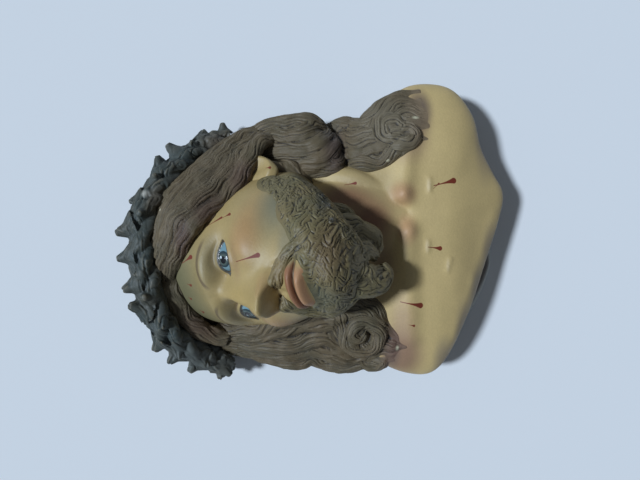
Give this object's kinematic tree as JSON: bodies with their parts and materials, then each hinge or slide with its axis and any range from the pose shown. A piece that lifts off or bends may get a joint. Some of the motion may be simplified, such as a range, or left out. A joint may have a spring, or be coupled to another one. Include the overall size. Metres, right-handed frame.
{
  "type": "thorn-crowned bust",
  "caption": "Small cast and painted bust of a bearded man with long hair, a thorn crown and bare shoulders, flat behind, lying on its back.",
  "frame": {"origin": "on the flat back, under the middle of the bust's outline", "axes": "+Z out of the flat back towards the viewer, +Y to the top of the head, +X to the viewer's right"},
  "size_m": [0.1168, 0.1498, 0.068],
  "materials": {
    "painted_resin": "satin hand-painted stone resin: tan skin, brown hair with a dark wash, green-black crown"
  },
  "bodies": {
    "root": {"bust": "painted_resin"}
  },
  "joints": []
}
